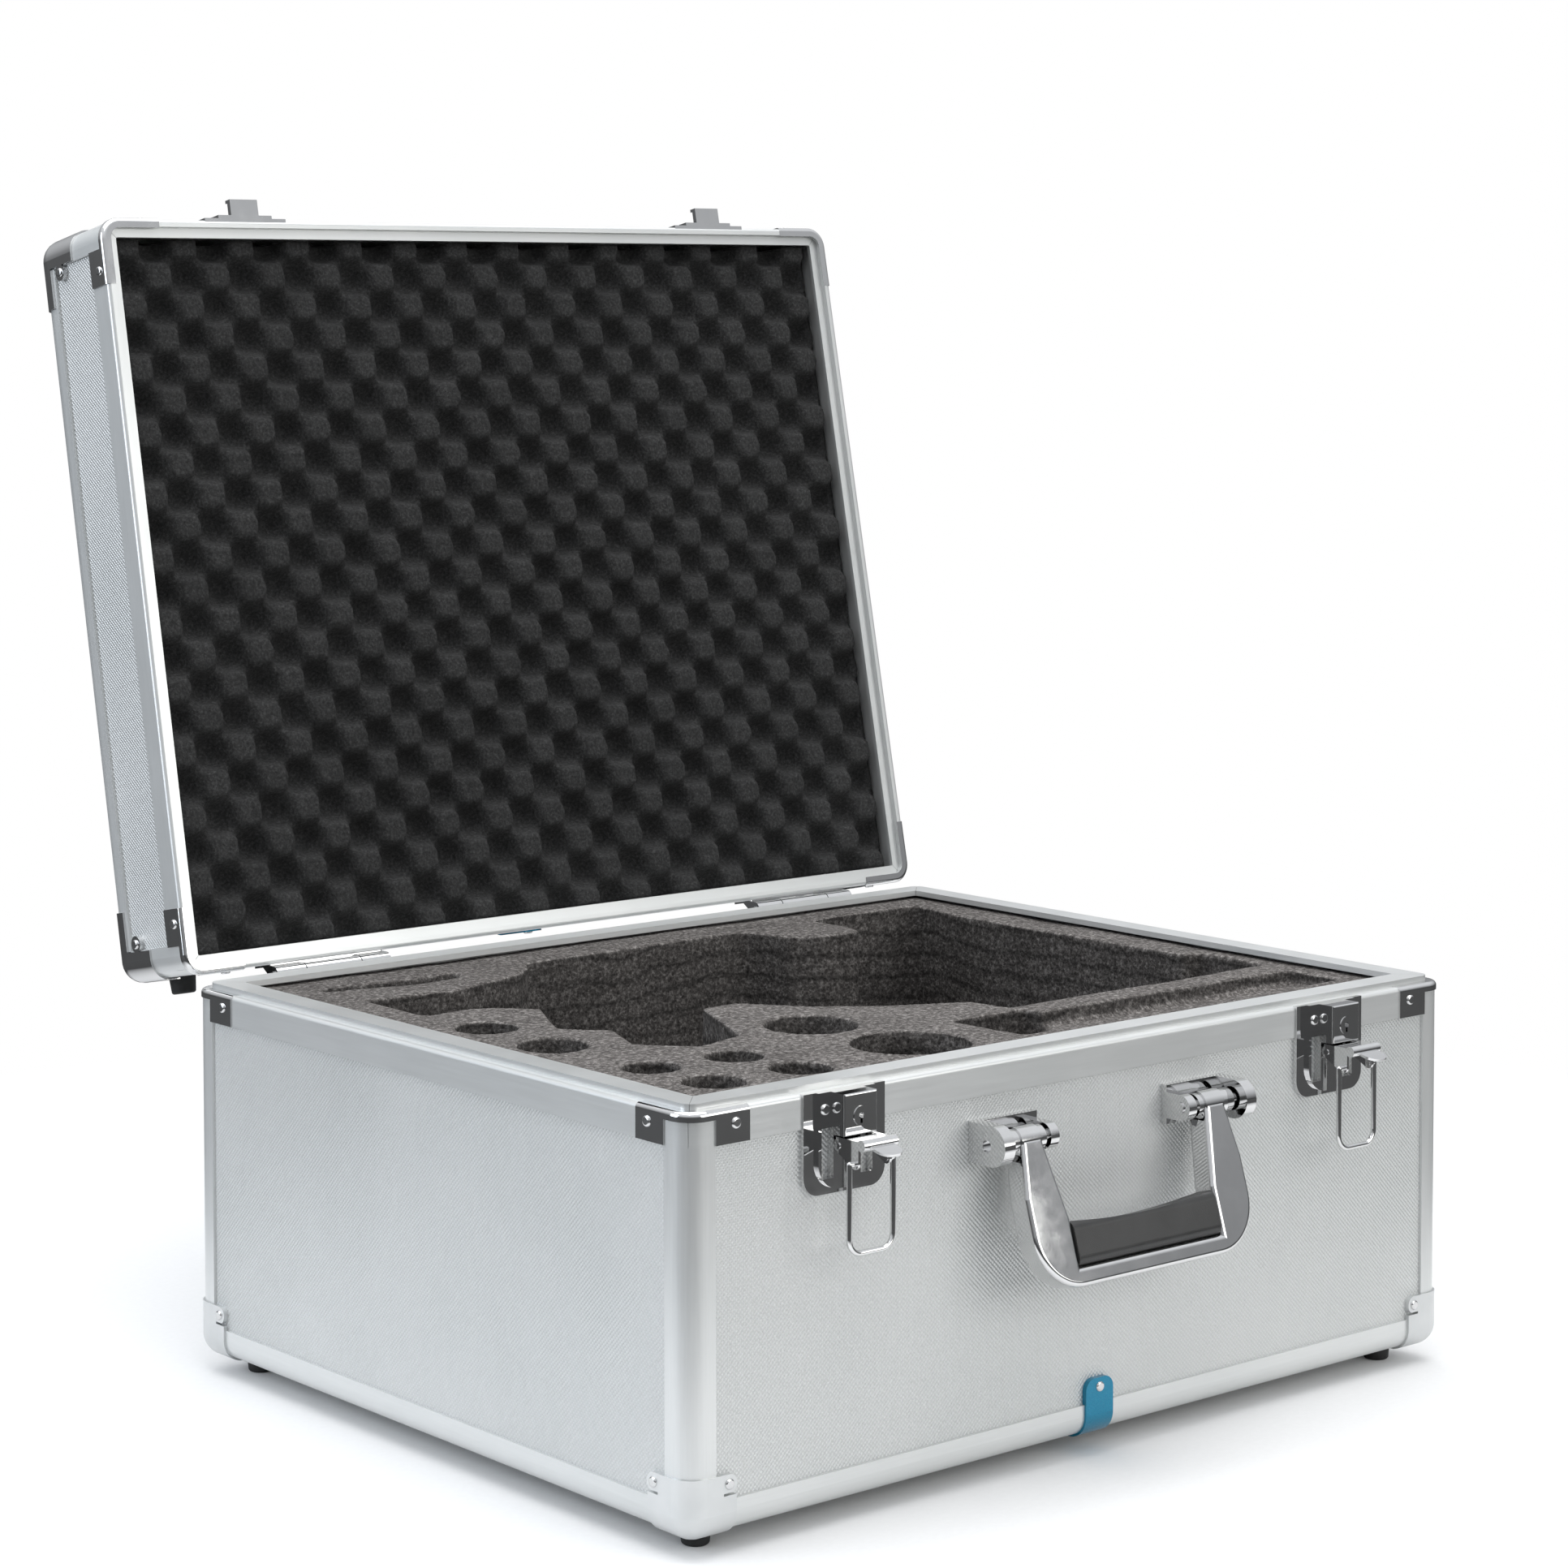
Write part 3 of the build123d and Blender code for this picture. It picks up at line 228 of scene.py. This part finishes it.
def chrome(name, low=0.03, high=0.08, tone=0.74):
    """Bright plate over pressed steel, with handling haze."""
    finish = Finish(name, Metallic=1.0)
    where = finish.place()
    haze = finish.noise(where, 60.0, 4.0, 0.6)
    colour = finish.ramp(haze, (0.3, tone * 0.94), (0.7, tone))
    rough = finish.ramp(haze, (0.35, low), (0.7, high))
    return finish.use(Base_Color=colour, Roughness=rough)


def blue_metal():
    """Blue metallic lacquer with fine flakes under a clear coat."""
    finish = Finish("blue_metal", Metallic=0.8, Coat_Weight=0.6, Coat_Roughness=0.08)
    flakes = finish.cells(finish.place(), 2600.0)
    colour = finish.ramp(flakes, (0.1, (0.003, 0.27, 0.42)), (0.6, (0.002, 0.19, 0.33)))
    rough = finish.ramp(flakes, (0.1, 0.24), (0.6, 0.36))
    return finish.use(Base_Color=colour, Roughness=rough, Normal=finish.bump(flakes, 0.01 * MM))


# ---------------------------------------------------------------- rubber, grip and foam
def rubber():
    finish = Finish("black_rubber", Specular_IOR_Level=0.35)
    where = finish.place()
    dust = finish.noise(where, 160.0, 4.0, 0.7)
    colour = finish.ramp(dust, (0.4, 0.012), (0.75, 0.03))
    grain = finish.noise(where, 1400.0, 2.0)
    rough = finish.ramp(dust, (0.3, 0.5), (0.7, 0.7))
    return finish.use(Base_Color=colour, Roughness=rough, Normal=finish.bump(grain, 0.06 * MM))


def grip_plastic():
    """Satin moulded grip with a very fine leather-like grain."""
    finish = Finish("grip_black", Specular_IOR_Level=0.5)
    where = finish.place()
    grain = finish.cells(where, 1500.0)
    cloud = finish.noise(where, 70.0, 3.0)
    colour = finish.ramp(cloud, (0.3, 0.018), (0.7, 0.028))
    rough = finish.ramp(cloud, (0.3, 0.3), (0.7, 0.4))
    return finish.use(Base_Color=colour, Roughness=rough, Normal=finish.bump(grain, 0.04 * MM))


def insert_foam():
    """Grey-black open-cell foam: light and dark cells with painted glints on the fibres and painted shade
    in the pores, dark lines between its layers, and painted shade on its upright cut walls.
    """
    finish = Finish("insert_foam", Specular_IOR_Level=0.15, Roughness=0.95)
    where = finish.place()
    cells = finish.cells(where, 480.0)
    fibre = finish.noise(where, 380.0, 3.0, 0.8)
    cloud = finish.noise(where, 35.0, 3.0)
    # Speckle: the darker and middle greys are the foam's own tone, and the brightest specks are painted
    # glints on the fibres.
    speckle_and_glint = finish.ramp(fibre, (0.3, (0.045, 0.041, 0.039)), (0.5, (0.13, 0.12, 0.114)),
                          (0.7, (0.36, 0.34, 0.325)))
    # Painted shade: each cell darkens towards its middle, as shade falls in a pore.
    painted_pore_shade = finish.ramp(cells, (0.05, 0.45), (0.4, 1.0))
    colour = finish.multiply(finish.multiply(speckle_and_glint, painted_pore_shade), finish.ramp(cloud, (0.3, 0.8), (0.7, 1.0)))
    # The foam's layer lines, and painted shade over its upright walls.
    colour = finish.multiply(colour, layer_lines_and_wall_shade(finish, where))
    height = finish.math("ADD", fibre, cells)
    return finish.use(Base_Color=colour, Normal=finish.bump(height, 0.45 * MM))


def layer_lines_and_wall_shade(finish, where):
    """Dark wavering lines where the foam's layers meet, over painted shade that darkens the whole wall, on
    upright walls only.
    """
    wander = finish.math("MULTIPLY", finish.noise(where, 16.0, 3.0), 24 * MM)
    axes = finish.node("ShaderNodeSeparateXYZ", where).outputs
    level = finish.math("DIVIDE", finish.math("ADD", axes["Z"], wander), LAYER)
    band = finish.math("PINGPONG", level, 0.5)
    # Painted shade: upright walls are darkened to 0.62 all over, and the layer lines darken them further to
    # 0.34.
    dark = finish.ramp(band, (0.0, 0.34), (0.2, 0.62))
    facing = finish.node("ShaderNodeNewGeometry").outputs["Normal"]
    upright = finish.math("ABSOLUTE", finish.node("ShaderNodeSeparateXYZ", facing).outputs["Z"])
    # Level faces are kept free of the painted wall shade and the lines.
    level_ground = finish.ramp(upright, (0.3, 0.0), (0.7, 1.0))
    lighten = finish.node("ShaderNodeMix", data_type="RGBA", blend_type="LIGHTEN")
    lighten.inputs["Factor"].default_value = 1.0
    finish.feed(lighten.inputs["A"], dark)
    finish.feed(lighten.inputs["B"], level_ground)
    return lighten.outputs["Result"]


def egg_crate_foam():
    """Near-black convoluted foam with a fine open grain."""
    finish = Finish("egg_crate_foam", Specular_IOR_Level=0.15, Roughness=0.95)
    where = finish.place()
    fibre = finish.noise(where, 620.0, 4.0, 0.7)
    cloud = finish.noise(where, 30.0, 3.0)
    grain = finish.ramp(fibre, (0.3, 0.02), (0.52, 0.04), (0.72, 0.075))
    colour = finish.multiply(grain, finish.ramp(cloud, (0.3, 0.8), (0.7, 1.0)))
    return finish.use(Base_Color=colour, Normal=finish.bump(fibre, 0.5 * MM))


# ---------------------------------------------------------------- which node has which finish
def dress(node, material):
    """Gives a CAD node one finish."""
    slots = NODES[node].data.materials
    slots.clear()
    slots.append(material)


def dress_panels():
    """The emboss lies in each panel's own plane. Lid panels are turned with the lid."""
    planes = {"front": ("X", "Z"), "side": ("Y", "Z"), "flat": ("X", "Y")}
    faces = {"front": "front", "rear": "front", "left": "side", "right": "side"}
    for part, turn, flat in (("base", 0.0, "bottom"), ("lid", LID_OPEN, "top")):
        made = {
            plane: embossed_sheet(f"{part}_{plane}_sheet", u, v, turn)
            for plane, (u, v) in planes.items()
        }
        for face, plane in {**faces, flat: "flat"}.items():
            dress(f"{part}_{face}_panel", made[plane])


def dress_frame():
    """Extrusions: drawn lines run up the posts and along the rails."""
    for part, turn in (("base", 0.0), ("lid", LID_OPEN)):
        upright = satin_extrusion(f"{part}_post_satin", (ACROSS, ACROSS, ALONG), turn)
        level = satin_extrusion(f"{part}_rail_satin", (ALONG, ALONG, ACROSS), turn)
        dress(f"{part}_corner_posts", upright)
        dress(f"{part}_rim_rails", level)
    dress("base_bottom_rails", bpy.data.materials["base_rail_satin"])
    dress("lid_top_rails", bpy.data.materials["lid_rail_satin"])


def dress_hardware():
    """Everything else on the case, by the slot that the record gives each node."""
    finishes = {
        "cast_corner": cast_metal(),
        "chrome": chrome("chrome"),
        "rivet_nickel": chrome("rivet_nickel", 0.12, 0.22, 0.7),
        "blue_metal": blue_metal(),
        "black_rubber": rubber(),
        "grip_black": grip_plastic(),
    }
    for part in frame["record"]["subparts"]:
        if part["material_slot"] in finishes:
            dress(part["node"], finishes[part["material_slot"]])


# ---------------------------------------------------------------- foam
def new_piece(name, mesh, material, body, slot, *nodes):
    """A finished piece that stands for some CAD nodes and rides on a body."""
    piece = bpy.data.objects.new(name, mesh)
    bpy.context.scene.collection.objects.link(piece)
    mesh.materials.clear()
    mesh.materials.append(material)
    mesh.shade_smooth()
    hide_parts(*nodes)
    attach(piece, body)
    return piece


def even_cells(node, cell):
    """A CAD solid's mesh remade in even cells, with its sharp edges softened."""
    scratch = bpy.data.objects.new("scratch", NODES[node].data.copy())
    bpy.context.scene.collection.objects.link(scratch)
    remesh = scratch.modifiers.new("cells", "REMESH")
    remesh.mode = "VOXEL"
    remesh.voxel_size = cell
    scratch.modifiers.new("soften", "SMOOTH").iterations = 1
    graph = bpy.context.evaluated_depsgraph_get()
    mesh = bpy.data.meshes.new_from_object(scratch.evaluated_get(graph))
    bpy.data.objects.remove(scratch)
    return mesh


def within(point, low, high):
    return Vector(min(max(value, a), b) for value, a, b in zip(point, low, high))


def ruffle(mesh, low, high):
    """Moves every point in a little by slow noise, as cut foam wavers, inside the CAD box."""
    normals = [normal.vector.copy() for normal in mesh.vertex_normals]
    moved = []
    for vertex, normal in zip(mesh.vertices, normals):
        place = vertex.co.copy()
        layered = Vector((place.x * CUT_SCALE, place.y * CUT_SCALE, place.z / LAYER * 2))
        inward = (noise.noise(place * CUT_SCALE) + 1) / 2 + (noise.noise(layered) + 1) / 4
        moved.extend(within(place - normal * inward * CUT_WAVER, low, high))
    mesh.vertices.foreach_set("co", moved)


def die_cut_foam():
    material = insert_foam()
    for node, cell in (("foam_insert", INSERT_CELL), ("foam_pad", PAD_CELL)):
        mesh = even_cells(node, cell)
        ruffle(mesh, *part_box(node))
        piece = new_piece(f"{node}_cut", mesh, material, "base", "insert_foam", node)


def crate_height(x, y):
    """Depth below the crests: broad flat-topped crests and round pits, like a chessboard."""
    board = math.cos(math.pi * x / PIT_X) * math.cos(math.pi * y / PIT_Y)
    pit = min(max((PIT_EDGE - board) / (1 + PIT_EDGE), 0.0), 1.0)
    return PIT_DEPTH * pit ** PIT_STEEPNESS * (1.0 - PIT_ROUND * pit)


def lid_foam():
    """The egg-crate foam, drawn with the lid shut and crests down, then swung open with it."""
    swing = Matrix.Translation(HINGE) @ Matrix.Rotation(-LID_OPEN, 4, "X") @ Matrix.Translation(-HINGE)
    shut = [swing.inverted() @ vertex.co for vertex in NODES["lid_foam"].data.vertices]
    low = Vector(min(point[i] for point in shut) for i in range(3))
    high = Vector(max(point[i] for point in shut) for i in range(3))
    columns = round((high.x - low.x) / CRATE_CELL)
    rows = round((high.y - low.y) / CRATE_CELL)

    points = []
    for row in range(rows + 1):
        for column in range(columns + 1):
            x = low.x + (high.x - low.x) * column / columns
            y = low.y + (high.y - low.y) * row / rows
            wander = noise.noise(Vector((x, y, 0)) * 25) * CRATE_WANDER
            fall = crate_height(x - MIDDLE.x + wander, y - MIDDLE.y + wander)
            swell = (noise.noise(Vector((x, y, 1)) * 40) + 1) * CRATE_SWELL
            points.append(Vector((x, y, low.z + fall + swell)))
    width = columns + 1
    faces = [
        (at, at + width, at + width + 1, at + 1)
        for row in range(rows)
        for at in range(row * width, row * width + columns)
    ]
    rim = list(range(columns))
    rim += [row * width + columns for row in range(rows)]
    rim += [rows * width + column for column in range(columns, 0, -1)]
    rim += [row * width for row in range(rows, 0, -1)]
    first_back = len(points)
    points += [Vector((points[at].x, points[at].y, high.z)) for at in rim]
    for place, at in enumerate(rim):
        after = (place + 1) % len(rim)
        faces.append((at, rim[after], first_back + after, first_back + place))
    faces.append([first_back + place for place in range(len(rim))])

    mesh = bpy.data.meshes.new("egg_crate")
    mesh.from_pydata([swing @ point for point in points], [], faces)
    mesh.validate()
    piece = new_piece("lid_foam_egg_crate", mesh, egg_crate_foam(), "lid", "egg_crate_foam", "lid_foam")


# ---------------------------------------------------------------- studio
def camera():
    """The photograph's camera: level but for a slight tilt down, and framed by its shift."""
    right = Vector((math.cos(CAMERA_AZIMUTH), math.sin(CAMERA_AZIMUTH), 0))
    level, fall = math.cos(CAMERA_DOWN), math.sin(CAMERA_DOWN)
    ahead = Vector((-right.y * level, right.x * level, -fall))
    up = right.cross(ahead)
    turn = Matrix((right, up, -ahead)).transposed()
    data = bpy.data.cameras.new("camera")
    data.sensor_width = SENSOR
    data.lens = CAMERA_LENS
    data.shift_x, data.shift_y = CAMERA_SHIFT
    made = bpy.data.objects.new("camera", data)
    made.matrix_world = Matrix.Translation(CAMERA_AT) @ turn.to_4x4() @ Matrix.Rotation(CAMERA_ROLL, 4, "Z")
    bpy.context.scene.collection.objects.link(made)
    bpy.context.scene.camera = made


def softbox(name, offset, width, height, power, colour=(1, 1, 1)):
    """A soft light at an offset from the middle of the base, aimed at the case."""
    at = MIDDLE + Vector(offset)
    data = bpy.data.lights.new(name, "AREA")
    data.color = colour
    data.shape = "RECTANGLE"
    data.size, data.size_y = width, height
    data.energy = power
    light = bpy.data.objects.new(name, data)
    aim = (MIDDLE + LIGHT_TARGET - at).to_track_quat("-Z", "Y")
    light.matrix_world = Matrix.Translation(at) @ aim.to_matrix().to_4x4()
    bpy.context.scene.collection.objects.link(light)


def floor():
    """White paper. Far off it fades to white for the camera, and to the dark studio in reflections."""
    mesh = bpy.data.meshes.new("floor")
    signs = ((-1, -1), (1, -1), (1, 1), (-1, 1))
    corners = [(x * FLOOR_REACH, y * FLOOR_REACH, 0) for x, y in signs]
    mesh.from_pydata(corners, [], [(0, 1, 2, 3)])
    plane = bpy.data.objects.new("floor", mesh)
    plane.location = MIDDLE
    bpy.context.scene.collection.objects.link(plane)
    finish = Finish("floor_paper", Roughness=0.9, Specular_IOR_Level=0.1)
    where = finish.place()
    distance = finish.node("ShaderNodeVectorMath", where, operation="LENGTH").outputs["Value"]
    seen = finish.node("ShaderNodeLightPath").outputs["Is Camera Ray"]
    tooth = finish.ramp(finish.noise(where, 300.0, 2.0), (0.3, 0.86), (0.7, 0.88))
    reflected = finish.ramp(distance, (GLOSS_FROM, 0.8), (GLOSS_TO, 0.05))
    paper = finish.node("ShaderNodeMix", data_type="RGBA")
    for socket, value in (("Factor", seen), ("A", reflected), ("B", tooth)):
        finish.feed(paper.inputs[socket], value)
    finish.use(Base_Color=paper.outputs["Result"])
    glow = finish.node("ShaderNodeEmission", (1, 1, 1, 1), 1.0)
    fade = finish.math("MULTIPLY", finish.ramp(distance, (WHITE_FROM, 0.0), (WHITE_TO, 1.0)), seen)
    blend = finish.node("ShaderNodeMixShader", fade, finish.shader.outputs[0], glow.outputs[0])
    finish.feed(finish.tree.nodes["Material Output"].inputs["Surface"], blend.outputs[0])
    mesh.materials.append(finish.material)


def surroundings():
    """A white backdrop for the camera, and a dim studio with a bright ceiling in reflections."""
    world = bpy.data.worlds.new("studio")
    world.use_nodes = True
    bpy.context.scene.world = world
    tree = world.node_tree
    links = tree.links
    backdrop = tree.nodes["Background"]
    backdrop.inputs["Color"].default_value = (1, 1, 1, 1)
    room = tree.nodes.new("ShaderNodeBackground")
    height = tree.nodes.new("ShaderNodeSeparateXYZ")
    links.new(tree.nodes.new("ShaderNodeTexCoord").outputs["Generated"], height.inputs[0])
    shade = tree.nodes.new("ShaderNodeValToRGB")
    shade.color_ramp.elements[0].position = 0.0
    shade.color_ramp.elements[0].color = (0.1, 0.103, 0.106, 1)
    shade.color_ramp.elements[1].position = 0.6
    shade.color_ramp.elements[1].color = (0.85, 0.87, 0.9, 1)
    links.new(height.outputs["Z"], shade.inputs[0])
    links.new(shade.outputs[0], room.inputs["Color"])
    either = tree.nodes.new("ShaderNodeMixShader")
    links.new(tree.nodes.new("ShaderNodeLightPath").outputs["Is Camera Ray"], either.inputs[0])
    links.new(room.outputs[0], either.inputs[1])
    links.new(backdrop.outputs[0], either.inputs[2])
    links.new(either.outputs[0], tree.nodes["World Output"].inputs["Surface"])


def studio():
    surroundings()
    floor()
    softbox("ceiling", (0, 0.1, 2.2), 2.6, 2.6, 42)
    softbox("left_wall", (-2.2, 0.9, 0.9), 1.6, 1.6, 26, (0.84, 0.91, 1.0))
    softbox("front_wall", (0.9, -2.4, 0.9), 1.8, 1.4, 22, (1.0, 0.995, 0.97))
    bpy.context.scene.view_settings.view_transform = "Standard"


# ---------------------------------------------------------------- the whole scene
camera()
studio()
dress_panels()
dress_frame()
dress_hardware()
die_cut_foam()
lid_foam()
